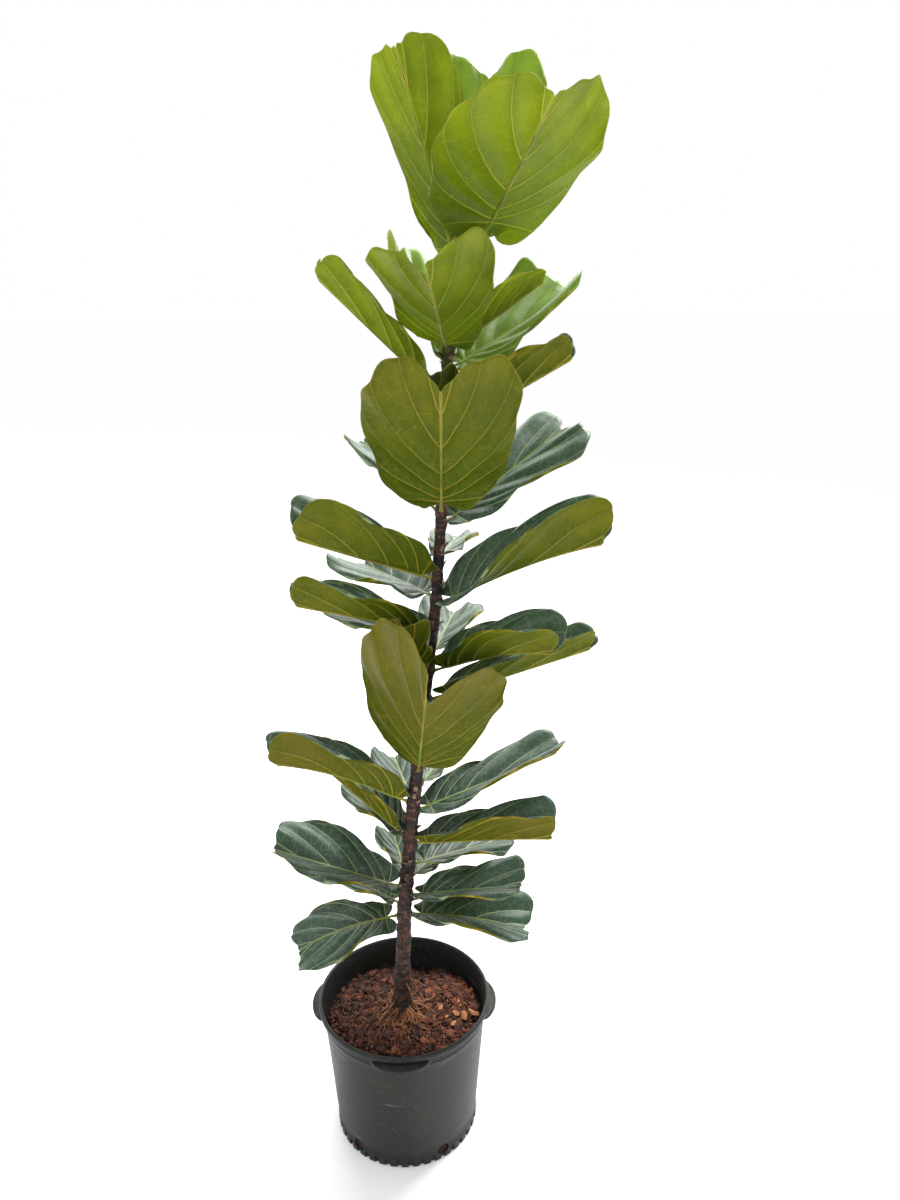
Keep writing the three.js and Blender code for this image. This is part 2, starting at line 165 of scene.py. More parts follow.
def tube(path, radii, sides, flat=1.0):
    """A closed round rod along a path. flat under 1 presses it in its second direction."""
    path = np.asarray(path, float)
    ahead = np.gradient(path, axis=0)
    ahead /= np.linalg.norm(ahead, axis=1)[:, None]
    side = np.cross(ahead[0], (0, 0, 1) if abs(ahead[0][2]) < 0.9 else (1, 0, 0))
    turns = around(sides)
    rings = []
    for point, forward, radius in zip(path, ahead, radii):
        side = side - forward * side.dot(forward)
        side /= np.linalg.norm(side)
        up = np.cross(forward, side)
        rings.append(point + radius * (np.cos(turns)[:, None] * side + flat * np.sin(turns)[:, None] * up))
    return lofted(rings)


def lofted(rings):
    """Rings of points joined into a closed body, with a middle point at each end."""
    rings = np.asarray(rings)
    count, sides = rings.shape[:2]
    vertices = np.concatenate([rings.reshape(-1, 3), rings[0].mean(0)[None], rings[-1].mean(0)[None]])
    faces = []
    for i in range(count - 1):
        for k in range(sides):
            after = (k + 1) % sides
            faces.append((i * sides + k, i * sides + after, (i + 1) * sides + after, (i + 1) * sides + k))
    low = count * sides
    last = low - sides
    for k in range(sides):
        after = (k + 1) % sides
        faces.append((low, after, k))
        faces.append((low + 1, last + k, last + after))
    return vertices, faces


def plate(upper, lower):
    """A closed thin plate between two grids of points; also each face's side: 0 upper, 1 lower, 2 edge."""
    rows, columns = upper.shape[:2]
    below = rows * columns
    index = np.arange(below).reshape(rows, columns)
    a, b, c, d = index[:-1, :-1], index[:-1, 1:], index[1:, 1:], index[1:, :-1]
    top = np.stack([a, b, c, d], -1).reshape(-1, 4)
    bottom = np.stack([a, d, c, b], -1).reshape(-1, 4) + below
    rim = np.concatenate([index[0, :], index[1:, -1], index[-1, -2::-1], index[-2:0:-1, 0]])
    after = np.roll(rim, -1)
    edge = np.stack([rim, rim + below, after + below, after], -1)
    faces = np.concatenate([top, bottom, edge])
    sides = np.repeat([0, 1, 2], [len(top), len(bottom), len(edge)])
    vertices = np.concatenate([upper.reshape(-1, 3), lower.reshape(-1, 3)])
    return vertices, faces, sides


# ---- materials ----


def linear(code):
    """An sRGB hex colour as linear red, green, blue and alpha."""
    parts = [int(code[i : i + 2], 16) / 255 for i in (1, 3, 5)]
    return tuple(c / 12.92 if c <= 0.04045 else ((c + 0.055) / 1.055) ** 2.4 for c in parts) + (1.0,)


def node(tree, kind, inputs, out=0, **settings):
    """Adds one node with its settings and links, and gives its output. An input is a value or an output."""
    made = tree.nodes.new("ShaderNode" + kind)
    for name, value in settings.items():
        setattr(made, name, value)
    for name, value in inputs.items():
        if isinstance(value, bpy.types.NodeSocket):
            tree.links.new(value, made.inputs[name])
        else:
            made.inputs[name].default_value = value
    return made.outputs[out] if made.outputs else None


def new_material(name):
    """An empty material and its tree."""
    material = bpy.data.materials.new(name)
    material.use_nodes = True
    material.node_tree.nodes.clear()
    return material, material.node_tree


def patches(tree, size, low=0.0, high=1.0, most=1.0, detail=3.0):
    """Patches about size millimetres across: 0 where the noise is under low, most where it is over high."""
    place = node(tree, "TexCoord", {}, "Object")
    noise = node(tree, "TexNoise", {"Vector": place, "Scale": PER_METRE / size, "Detail": detail})
    return node(tree, "MapRange", {"Value": noise, "From Min": low, "From Max": high, "To Max": most})


def cracks(tree, size, width, most=1.0):
    """A net of lines round cells about size millimetres across, gone width millimetres to each side."""
    place = node(tree, "TexCoord", {}, "Object")
    cells = {"Vector": place, "Scale": PER_METRE / size}
    depth = node(tree, "TexVoronoi", cells, feature="DISTANCE_TO_EDGE")
    edges = {"Value": depth, "From Min": width / size, "From Max": 0.3 * width / size, "To Max": most}
    return node(tree, "MapRange", edges)


def coats(tree, colour, *covers):
    """A colour with others laid over it in turn, each as far as its share says."""
    colour = linear(colour)
    for code, share in covers:
        colour = node(tree, "Mix", {0: share, 6: colour, 7: linear(code)}, 2, data_type="RGBA")
    return colour


def finished(material, tree, colour, roughness, grain, depth, shine=0.4):
    """Closes a plain opaque material. The grain's size and depth are in millimetres."""
    bump = node(tree, "Bump", {"Height": patches(tree, grain), "Distance": depth * MM})
    look = {"Base Color": colour, "Roughness": roughness, "Specular IOR Level": shine, "Normal": bump}
    node(tree, "OutputMaterial", {"Surface": node(tree, "BsdfPrincipled", look)})
    return material


def leaf_skin(name, flesh, tip_flesh, mottle_and_shade, vein, glow, roughness, shine, through, veining, relief):
    """One side of a fig leaf: flesh that changes towards the tip, with veins, a net, a thin pale edge and
    painted shade along both sides of each side vein.

    glow is the colour of light that shines through, and through its share. veining is how strongly the
    veins are coloured, and relief how far the fine ones stand out, in millimetres."""
    material, tree = new_material(name)
    fields = ("vein_phase", "panel_mm", "along_mm", "lateral_mm", "margin_mm", "reach")
    phase, panel, along, lateral, edge, reach = (
        node(tree, "Attribute", {}, "Fac", attribute_name=field) for field in fields
    )
    # Side veins: the phase is a whole number along each, and they narrow towards the margin.
    nearest = node(tree, "Math", {0: phase, 1: 0.5}, operation="PINGPONG")
    distance = node(tree, "Math", {0: nearest, 1: panel}, operation="MULTIPLY")
    slim = node(tree, "MapRange", {"Value": along, "From Max": VEIN_RUN, "To Min": 1.0, "To Max": 0.35})
    relative = node(tree, "Math", {0: distance, 1: slim}, operation="DIVIDE")
    vein_edges = {"Value": relative, "From Min": 1.0, "From Max": 0.45, "To Max": veining}
    side_vein = node(tree, "MapRange", vein_edges)
    midrib = node(tree, "MapRange", {"Value": lateral, "From Min": 1.9, "From Max": 1.2, "To Max": veining})
    rim = node(tree, "MapRange", {"Value": edge, "From Min": 1.1, "From Max": 0.5, "To Max": 0.5 * veining})
    lines = node(tree, "Math", {0: side_vein, 1: midrib}, operation="MAXIMUM")
    lines = node(tree, "Math", {0: lines, 1: rim}, operation="MAXIMUM")
    coarse = cracks(tree, 13, 0.5, 0.32 * veining)
    fine = cracks(tree, 4.5, 0.35, 0.1 * veining)
    toward_tip = node(tree, "MapRange", {"Value": reach, "From Min": 0.15, "From Max": 0.85})
    # Painted shade darkens both sides of each side vein, where the pillowed panels dip to it.
    painted_vein_shade = node(tree, "MapRange", {"Value": distance, "From Min": 9.0, "From Max": 1.0, "To Max": 0.45})
    # The darker green lies in random patches and, as painted shade, beside the side veins.
    covers = [(tip_flesh, toward_tip), (mottle_and_shade, patches(tree, 40, 0.4, 0.62, 0.45)), (mottle_and_shade, painted_vein_shade)]
    colour = coats(tree, flesh, *covers, (vein, fine), (vein, coarse), (vein, lines))
    net = node(tree, "Math", {0: coarse, 1: fine}, operation="ADD")
    grain = patches(tree, 1.6, most=0.25)
    height = node(tree, "Math", {0: net, 1: grain}, operation="ADD")
    bump = node(tree, "Bump", {"Height": height, "Distance": abs(relief) * MM}, invert=relief < 0)
    bloom = patches(tree, 30)
    bloom = node(tree, "MapRange", {"Value": bloom, "To Min": roughness - 0.1, "To Max": roughness + 0.1})
    look = {"Base Color": colour, "Roughness": bloom, "Specular IOR Level": shine, "Normal": bump}
    skin = node(tree, "BsdfPrincipled", look)
    shining = node(tree, "Mix", {0: 0.45, 6: linear(glow), 7: colour}, 2, data_type="RGBA")
    light = node(tree, "BsdfTranslucent", {"Color": shining, "Normal": bump})
    node(tree, "OutputMaterial", {"Surface": node(tree, "MixShader", {0: through, 1: skin, 2: light})})
    return material


def stalk_skin():
    """Leaf stalk and midrib: smooth yellow green rind, browner where it has hardened, with a low sheen."""
    material, tree = new_material("leaf stalk rind")
    yellower = ("#8A8430", patches(tree, 60, 0.4, 0.6))
    hardened = ("#5A4020", patches(tree, 35, 0.5, 0.7))
    colour = coats(tree, "#66801C", yellower, hardened)
    return finished(material, tree, colour, 0.45, 2.5, 0.2)


def bark_skin():
    """Young fig bark: thin dark brown cork, redder in rings, with grey flakes and fine cracks."""
    material, tree = new_material("young fig bark")
    place = node(tree, "TexCoord", {}, "Object")
    squashed = node(tree, "Mapping", {"Vector": place, "Scale": (1.0, 1.0, 3.0)})
    rings = node(tree, "TexNoise", {"Vector": squashed, "Scale": PER_METRE / 18, "Detail": 5.0})
    redder = node(tree, "MapRange", {"Value": rings, "From Min": 0.45, "From Max": 0.68})
    youth = node(tree, "Attribute", {}, "Fac", attribute_name="youth")
    damp = node(tree, "Attribute", {}, "Fac", attribute_name="damp")
    flakes = patches(tree, 6, 0.6, 0.74)
    splits = cracks(tree, 9, 1.2, 0.8)
    covers = [("#66382A", redder), ("#7C6A5C", flakes), ("#120D0B", splits)]
    colour = coats(tree, "#1B1310", *covers, ("#5B5A22", youth), ("#191A12", damp))
    height = node(tree, "Math", {0: rings, 1: patches(tree, 2)}, operation="ADD")
    bump = node(tree, "Bump", {"Height": height, "Distance": 1.0 * MM})
    cork = node(tree, "BsdfPrincipled", {"Base Color": colour, "Roughness": 0.75, "Normal": bump})
    node(tree, "OutputMaterial", {"Surface": cork})
    return material


def pot_skin():
    """Moulded dark grey polyethylene: a low sheen, a faint grain, dust, pale specks and a few scuffs."""
    material, tree = new_material("moulded grey polyethylene")
    place = node(tree, "TexCoord", {}, "Object")
    specks = node(tree, "TexVoronoi", {"Vector": place, "Scale": PER_METRE / 9})
    specks = node(tree, "MapRange", {"Value": specks, "From Min": 0.07, "From Max": 0.03})
    stretch = {"Vector": place, "Scale": (1.0, 1.0, 9.0), "Rotation": (0.3, 0.2, 0.0)}
    stretched = node(tree, "Mapping", stretch)
    scuffs = node(tree, "TexNoise", {"Vector": stretched, "Scale": PER_METRE / 70, "Detail": 8.0})
    scuffs = node(tree, "MapRange", {"Value": scuffs, "From Min": 0.66, "From Max": 0.72, "To Max": 0.4})
    dust = patches(tree, 9, 0.58, 0.78, 0.35, 6.0)
    mottle = patches(tree, 90, 0.35, 0.65)
    covers = [("#22241F", mottle), ("#55534D", dust), ("#85837C", specks), ("#66666A", scuffs)]
    colour = coats(tree, "#1D2022", *covers)
    dull = node(tree, "MapRange", {"Value": dust, "From Max": 0.35, "To Min": 0.48, "To Max": 0.7})
    return finished(material, tree, colour, dull, 1.2, 0.12, 0.22)


def chip_skin():
    """Composted pine bark and coir: each chip its own brown, from near black to tan, matt and fibrous; on the
    loose chips the tone also carries painted sunlight to the right and painted shade at the back.
    """
    material, tree = new_material("composted bark and coir")
    tone = node(tree, "Attribute", {}, "Fac", attribute_name="tone")
    browns = []
    for code, low, high in [("#43211A", 0.1, 0.5), ("#86492C", 0.5, 0.9), ("#A9714A", 0.9, 1.0)]:
        browns.append((code, node(tree, "MapRange", {"Value": tone, "From Min": low, "From Max": high})))
    colour = coats(tree, "#150C09", *browns, ("#22130D", patches(tree, 3, 0.45, 0.7, 0.6)))
    return finished(material, tree, colour, 0.88, 1.5, 0.5)


def root_skin(name, pale, dark):
    """Dry fine root or husk: fibrous, matt, darker along some stretches."""
    material, tree = new_material(name)
    return finished(material, tree, coats(tree, pale, (dark, patches(tree, 12, 0.4, 0.62))), 0.8, 1.0, 0.2)


# ---- the stem's line ----

# Its middle: how far to the right, and the height. It leans in no other direction.
STEM_LINE = [(-4, 150), (-4, 213), (0, 300), (6, 410), (17, 520), (30, 640), (46, 770), (61, 890)]
STEM_LINE += [(69, 1000), (76, 1140), (82, 1230), (92, 1290), (107, 1324), (119, 1346)]
# Its radius, and the height.
STEM_GIRTH = [(14, 150), (14, 204), (18, 206), (14, 235), (11, 300)]
STEM_GIRTH += [(9.5, 600), (7.5, 900), (6.5, 1200), (5, 1346)]


def read_off(table, height):
    """A table's first value at a height."""
    heights = [row[1] for row in table]
    values = [row[0] for row in table]
    return np.interp(height, heights, values)


# ---- the leaves ----

COMMON_LEAF = dict(
    droop=0,  # how far the tip bends down from the rise, degrees
    right=20,  # how far the right half folds up, degrees; a pair is at the base and at the tip
    left=20,
    round=0.35,  # 0 is waisted like a fiddle, 1 is nearly a circle
    notch=0.08,  # depth of the notch at the tip, as a share of the length
    spread=0.2,  # how wide the notch opens
    skew=0,  # how much longer the left half is than the right, as a share
    ears=0.06,  # how far the base lobes reach back past the stalk
    stalk=14,
    wave=6,  # height of the ripple along the edge
)

# The two outlines that a leaf's own lies between: half width and distance along, as shares, base to tip.
FIDDLE = [(0, 0), (0.17, -0.02), (0.36, 0.01), (0.48, 0.11), (0.52, 0.24), (0.62, 0.4)]
FIDDLE += [(0.82, 0.57), (0.97, 0.73), (1, 0.89), (0.68, 1), (0.3, 0.99), (0, 0.93)]
ROUND = [(0, 0), (0.24, -0.03), (0.52, 0.02), (0.78, 0.13), (0.93, 0.28), (1, 0.44)]
ROUND += [(1, 0.6), (0.95, 0.76), (0.82, 0.9), (0.56, 1.0), (0.24, 1.02), (0, 0.93)]

def fig(up, facing, rise, long, wide, **own):
    """A leaf: its height on the stem, its facing and rise in degrees, its size, and its own traits."""
    placed_and_sized = dict(up=up, facing=facing, rise=rise, long=long, wide=wide)
    return SimpleNamespace(**{**COMMON_LEAF, **placed_and_sized, **own})


# One row a leaf, from the top down, the same as the part's own rows.
LEAVES = [
    fig(1345, 294, 37, 186, 204, right=(5, 12), left=(0, 22), round=1,
        notch=0.04, spread=0.05, stalk=34, ears=0.15),
    fig(1312, 220, 69, 222, 125, right=0, left=60, round=0.6, notch=0.02, ears=0.05, stalk=27, wave=3),
    fig(1340, 76, 70, 215, 160, right=15, left=15, round=0.5, notch=0.12, spread=0.4, ears=0.03, stalk=20),
    fig(1220, 262, 30, 190, 155, right=(18, 22), left=(12, 18), round=0.5,
        notch=0.15, spread=0.45, stalk=18, skew=0.07),
    fig(1168, 197, 43, 180, 85, right=25, left=45, stalk=34),
    fig(1205, 120, 42, 185, 110, right=30, left=(50, 70)),
    fig(1225, 20, 32, 130, 80, right=60, left=40, stalk=20),
    fig(1200, 32, 25, 202, 130, right=(-25, 40), left=(30, 25)),
    fig(1125, 350, 29, 165, 95, right=60, left=40, stalk=20),
    fig(1130, 260, 34, 120, 75, notch=0.03),
    fig(1018, 271, 52, 228, 202, right=(8, 15), left=(8, 15), round=0.8, notch=0.16, spread=0.25, stalk=18),
    fig(1000, 30, 30, 220, 125, right=-10, left=(40, 10)),
    fig(1015, 132, 26, 165, 100, stalk=20),
    fig(925, 205, 22, 198, 150, right=(50, 60), left=(60, 55)),
    fig(890, 350, 28, 234, 160, droop=-18, right=(0, 85), left=50),
    fig(895, 125, 1, 185, 150, right=25, left=10, stalk=18),
    fig(950, 78, 0, 110, 80),
    fig(850, 195, 16, 182, 105, right=50, left=60),
    fig(830, 140, 0, 155, 110),
    fig(637, 279, 57, 238, 250, right=(48, 52), left=(10, 20), round=0.8, notch=0.18, spread=0.35, skew=-0.2),
    fig(792, 235, 60, 79, 66, notch=0.03),
    fig(805, 76, 8, 130, 110, stalk=20),
    fig(790, 334, 24, 175, 130, droop=-24, right=50, left=60, stalk=18),
    fig(745, 357, 19, 224, 100, right=60, left=40, stalk=24),
    fig(583, 200, 34, 206, 120, droop=-22, right=50, left=60, stalk=18),
    fig(565, 20, 12, 228, 110, right=(0, 60), left=(30, 20)),
    fig(575, 104, 0, 130, 90, stalk=20),
    fig(596, 66, 6, 100, 66, stalk=20),
    fig(525, 173, 42, 165, 85, right=20, left=60),
    fig(518, 130, 12, 120, 90),
    fig(510, 355, 6, 192, 125, droop=-6, right=(50, 78), left=40, notch=0.04),
    fig(470, 30, -4, 150, 90, notch=0.04),
    fig(435, 187, 24, 188, 145, right=35, left=15, notch=0.03),
    fig(420, 347, 14, 163, 110, notch=0.04),
    fig(440, 60, 0, 110, 80),
    fig(382, 190, -6, 148, 120, droop=-30, right=20, left=-10, stalk=16, notch=0.03),
    fig(398, 142, 2, 105, 62),
    fig(385, 350, 4, 166, 120, droop=-20, notch=0.04),
    fig(450, 104, 5, 90, 70, stalk=18),
]


def margin(leaf, share):
    """How wide and how far along the flat outline is, both as shares, from the base at 0 to the tip at 1."""
    points = mix(np.array(FIDDLE), np.array(ROUND), leaf.round)
    points[1:4, 1] -= leaf.ears * np.array([1.0, 0.9, 0.3])
    points[-2, 1] -= leaf.notch * leaf.spread
    points[-1, 1] = 1 - leaf.notch
    padded = np.concatenate([points[:1], points, points[-1:]])
    place = np.clip(share, 0, 1) * (len(points) - 1)
    first = np.minimum(place.astype(int), len(points) - 2)
    t = (place - first)[..., None]
    a, b, c, d = (padded[first + k] for k in range(4))
    curve = b + 0.5 * t * (c - a + t * (2 * a - 5 * b + 4 * c - d + t * (3 * (b - c) + d - a)))
    return curve[..., 0], curve[..., 1]


def directions(leaf, reach):
    """The midrib's direction at a share of the blade, the blade's right side and its upper side."""
    reach = np.clip(reach, 0, 1.25)
    lift = np.radians(leaf.rise + leaf.droop * reach**1.6)
    facing_x, facing_y = turned(leaf.facing)
    ahead = np.stack([np.cos(lift) * facing_x, np.cos(lift) * facing_y, np.sin(lift)], -1)
    right = np.broadcast_to([facing_y, -facing_x, 0.0], ahead.shape)
    return ahead, right, np.cross(right, ahead)


def midrib_points(leaf):
    """Points a step apart along the midrib, from the stalk's end on."""
    facing_x, facing_y = turned(leaf.facing)
    girth = read_off(STEM_GIRTH, leaf.up)
    out = girth + 1 + STALK_RADIUS * abs(math.sin(math.radians(leaf.rise)))
    start = np.array([read_off(STEM_LINE, leaf.up) + out * facing_x, out * facing_y, leaf.up])
    reach = (np.arange(MIDRIB_STEPS + STEPS_PAST_TIP) + 0.5) / MIDRIB_STEPS
    steps = directions(leaf, reach)[0] * leaf.long / MIDRIB_STEPS
    base = start + directions(leaf, 0.0)[0] * leaf.stalk
    return np.concatenate([[base], base + np.cumsum(steps, axis=0)])


def on_midrib(leaf, points, distance):
    """Points on the midrib at a distance from the blade's base; behind the base it runs on straight."""
    stations = np.arange(len(points)) * leaf.long / MIDRIB_STEPS
    inside = np.stack([np.interp(distance, stations, points[:, k]) for k in range(3)], -1)
    return inside + np.minimum(distance, 0)[..., None] * directions(leaf, 0.0)[0]


def blade_layout(leaf, rng):
    """The blade spread flat: rows that run along the side veins, columns from the left edge to the right."""
    steps = np.arange((SIDE_VEINS + 1) * PANEL_ROWS + 1) / PANEL_ROWS
    phase = steps - 0.6 * np.sin(2 * np.pi * steps) / (2 * np.pi)  # closer rows beside each vein
    column = np.arange(-HALF_COLUMNS, HALF_COLUMNS + 1) / HALF_COLUMNS
    share = 1 - (1 - phase / (SIDE_VEINS + 1)) ** 1.5
    share[-1] = 1.0
    across, edge_forward = margin(leaf, share)
    end = 1 - leaf.notch
    root = end * (0.04 * share + 0.96 * share**4)
    half = np.maximum(leaf.wide / 2 * across, mix(2.5, 0.6, share))
    out = np.abs(column)[None, :]
    bow = mix(1.5, 1.0, ease(share, 0.8, 1.0))[:, None]
    lateral = half[:, None] * (1 - (1 - out) ** bow)
    lateral[:, HALF_COLUMNS] = 0
    side = np.sign(column)[None, :] * np.ones_like(lateral)
    edge_forward = edge_forward[:, None] * (1 - side * leaf.skew * share[:, None])
    forward = leaf.long * (root[:, None] + (edge_forward - root[:, None]) * out**1.15)
    # The margin draws in where a side vein meets it and bulges between, unevenly along its length.
    drawn_in = 0.035 * np.cos(np.pi * phase[:, None]) ** 2
    uneven = 0.045 * slow_swell(rng, leaf.long * share[:, None] + 0 * side, 60 * side, 55)
    stretch = 1 + (uneven - drawn_in) * out**2 * ease(share, 0.05, 0.2)[:, None]
    lateral = lateral * stretch
    forward = mix(0.5 * leaf.long, forward, stretch)
    even = dict(phase=phase[:, None], share=share[:, None], half=half[:, None], out=out)
    spread = {name: np.broadcast_to(values, lateral.shape) for name, values in even.items()}
    return SimpleNamespace(**spread, lateral=lateral, forward=forward, side=side)


def flat_measures(layout):
    """Millimetres on the flat blade: along its row, across a panel, and to the margin; also its points."""
    flat = np.stack([layout.side * layout.lateral, layout.forward], -1)
    steps = np.linalg.norm(np.diff(flat, axis=1), axis=2)
    along = np.zeros(layout.lateral.shape)
    along[:, HALF_COLUMNS + 1 :] = np.cumsum(steps[:, HALF_COLUMNS:], axis=1)
    along[:, :HALF_COLUMNS] = np.cumsum(steps[:, :HALF_COLUMNS][:, ::-1], axis=1)[:, ::-1]
    by_row = np.gradient(flat, axis=0) / np.gradient(layout.phase, axis=0)[..., None]
    by_column = np.gradient(flat, axis=1)
    by_column /= np.maximum(np.linalg.norm(by_column, axis=2), 1e-6)[..., None]
    panel = np.abs(by_row[..., 0] * by_column[..., 1] - by_row[..., 1] * by_column[..., 0])
    edge = np.concatenate([flat[:, 0], flat[:, -1]])
    gaps = np.linalg.norm(flat[:, :, None, :] - edge[None, None], axis=3)
    return along, np.maximum(panel, 1.0), gaps.min(axis=2), flat


def vein_shape(layout, along, panel):
    """1 on a side vein, falling away over its half width."""
    nearest = np.abs((layout.phase + 0.5) % 1 - 0.5)
    width = np.interp(along, [0, VEIN_RUN], [1.7, 0.9])
    ends = ease(layout.phase, 0.3, 0.9) * (1 - ease(layout.phase, SIDE_VEINS + 0.2, SIDE_VEINS + 0.8))
    return hill(nearest * panel, width) * ends


def slow_swell(rng, x, y, size):
    """A gentle unevenness from -1 to 1 with hills about size apart."""
    total = np.zeros(np.shape(x))
    for _ in range(4):
        angle = rng.uniform(0, 2 * np.pi)
        pitch = 2 * np.pi / (size * rng.uniform(0.8, 1.6))
        total += np.sin(pitch * (x * math.cos(angle) + y * math.sin(angle)) + rng.uniform(0, 2 * np.pi))
    return total / 4


def blade_middle(leaf, layout, points, rng):
    """The blade's middle surface in space, folded along the midrib and rippled at the edge."""
    reach = layout.forward / leaf.long
    _, right, above = directions(leaf, reach)
    fold_right = mix(*np.broadcast_to(leaf.right, 2), np.clip(reach, 0, 1))
    fold_left = mix(*np.broadcast_to(leaf.left, 2), np.clip(reach, 0, 1))
    tilt = np.radians(np.where(layout.side < 0, fold_left, fold_right))
    swing = 5 * np.pi * layout.share + np.where(layout.side < 0, 2.2, 0)
    damp = np.minimum(1, layout.half / (leaf.wide * 0.2))
    ripple = leaf.wave * layout.out ** 2 * np.sin(swing) * damp
    ripple += 1.6 * layout.out ** 3 * np.sin(2 * np.pi * layout.phase) * damp
    for half in (-1, 1):
        peak = rng.uniform(0.5, 0.85)
        bend = rng.uniform(-11, 9) * hill(layout.share - peak, 0.1)
        ripple += np.where(layout.side == half, bend * layout.out ** 3, 0)
    middle = on_midrib(leaf, points, layout.forward)
    middle = middle + right * (layout.side * layout.lateral * np.cos(tilt))[..., None]
    return middle + above * (layout.lateral * np.sin(tilt) + ripple)[..., None]


def grid_normals(grid):
    """The upper side's direction at each point of a grid."""
    normal = np.cross(np.gradient(grid, axis=1), np.gradient(grid, axis=0))
    return normal / np.maximum(np.linalg.norm(normal, axis=2), 1e-9)[..., None]


def stalk_and_midrib(leaf, points):
    """A tapering rod from the stem along the underside of the midrib to the tip."""
    end = leaf.long * (1 - leaf.notch) - 2
    on_stalk = np.linspace(-leaf.stalk, 0, STALK_RINGS + 1)[:-1]
    stations = np.concatenate([on_stalk, np.linspace(0, end, MIDRIB_RINGS)])
    radii = np.interp(stations, [-leaf.stalk, -leaf.stalk + 4, 0, end], [3.2, STALK_RADIUS, 1.9, 0.4])
    path = on_midrib(leaf, points, stations)
    above = directions(leaf, stations / leaf.long)[2]
    sink = np.interp(stations, [-5, 8], [0, 0.65]) * radii
    return tube(path - above * sink[:, None], radii, STALK_SIDES, flat=0.9)


def read_all(items, field):
    """One whole number from each item of a mesh."""
    values = np.zeros(len(items), np.int32)
    items.foreach_get(field, values)
    return values


def bake_map(mesh, flat, sides, shell_count):
    """A flat map of a leaf: upper side on the left, underside on the right, the stalk in a strip between."""
    spread = flat.reshape(-1, 2) - flat.min((0, 1))
    spread = spread / spread.max(0)
    upper = spread * (0.44, 0.94) + (0.02, 0.03)
    lower = spread * (0.44, 0.94) + (0.54, 0.03)
    loops = read_all(mesh.loops, "vertex_index")
    totals = read_all(mesh.polygons, "loop_total")
    in_shell = loops < shell_count
    uv = np.zeros((len(loops), 2))
    uv[in_shell] = np.concatenate([upper, lower])[loops[in_shell]]
    # The lower points of the thin edge go just outside the upper side's outline.
    on_edge = np.concatenate([sides == 2, np.zeros(len(totals) - len(sides), bool)])
    under_edge = in_shell & np.repeat(on_edge, totals) & (loops >= len(upper))
    rim = upper[loops[under_edge] - len(upper)]
    outward = rim - upper.mean(0)
    uv[under_edge] = rim + 0.008 * outward / np.linalg.norm(outward, axis=1)[:, None]
    stalk = loops[~in_shell] - shell_count
    rings = STALK_RINGS + MIDRIB_RINGS
    ring = np.minimum(stalk // STALK_SIDES, rings - 1)
    strip = 0.485 + 0.03 * (stalk % STALK_SIDES) / STALK_SIDES
    uv[~in_shell] = np.stack([strip, np.linspace(0.03, 0.97, rings)[ring]], -1)
    layer = mesh.uv_layers.new(name="OFBake")
    layer.data.foreach_set("uv", uv.astype(np.float32).ravel())


def fig_leaf(number, leaf, skins):
    """One leaf: a thin closed blade with sunk upper veins and raised ones below, and its stalk and midrib."""
    rng = np.random.default_rng(SEED + number)
    points = midrib_points(leaf)
    layout = blade_layout(leaf, rng)
    along, panel, to_margin, flat = flat_measures(layout)
    middle = blade_middle(leaf, layout, points, rng)
    normal = grid_normals(middle)
    between = np.sin(np.pi * (layout.phase % 1)) ** 2
    near_rib = ease(layout.lateral, 0, 14)
    near_edge = 1 - 0.6 * ease(layout.out, 0.8, 1.0)
    pillow = np.minimum(0.12 * panel, 3.6) * between * near_rib * near_edge
    swell = 2.2 * slow_swell(rng, flat[..., 0], flat[..., 1], 70) * ease(layout.lateral, 2, 40)
    middle = middle + normal * (pillow + swell)[..., None]
    normal = grid_normals(middle)
    veins = vein_shape(layout, along, panel) * ease(layout.lateral, 0, 3)
    thin = 1 - 0.45 * ease(layout.out, 0.93, 1.0)
    groove = 0.35 * veins + 0.8 * hill(layout.lateral, 2.2)
    upper = middle + normal * (BLADE_THICK / 2 * thin - groove)[..., None]
    ridge = np.interp(along, [0, 120], [1.3, 0.5]) * veins
    lower = middle - normal * (BLADE_THICK / 2 * thin + ridge)[..., None]
    shell, faces, sides = plate(upper, lower)
    rod, rod_faces = stalk_and_midrib(leaf, points)
    vertices, all_faces = gathered([(shell, faces), (rod, rod_faces)])
    finish_of = np.concatenate([np.where(sides == 2, 1, sides), np.full(len(rod_faces), 2)])

    def both(values, on_stalk):
        return np.concatenate([values.ravel(), values.ravel(), np.full(len(rod), float(on_stalk))])

    fields = dict(
        vein_phase=both(layout.phase, 0.5),
        panel_mm=both(panel, 20),
        along_mm=both(along, 0),
        lateral_mm=both(layout.lateral, 20),
        margin_mm=both(to_margin, 20),
        reach=both(np.clip(layout.forward / leaf.long, 0, 1), 0.5),
    )
    name = f"fig_leaf_{number:02d}"
    made = piece(name, vertices, all_faces, skins, finish_of, fields, [f"leaf_{number:02d}"])
    bake_map(made.data, flat, sides, len(shell))
    return made


# ---- the stem ----

STEM_SIDES = 40


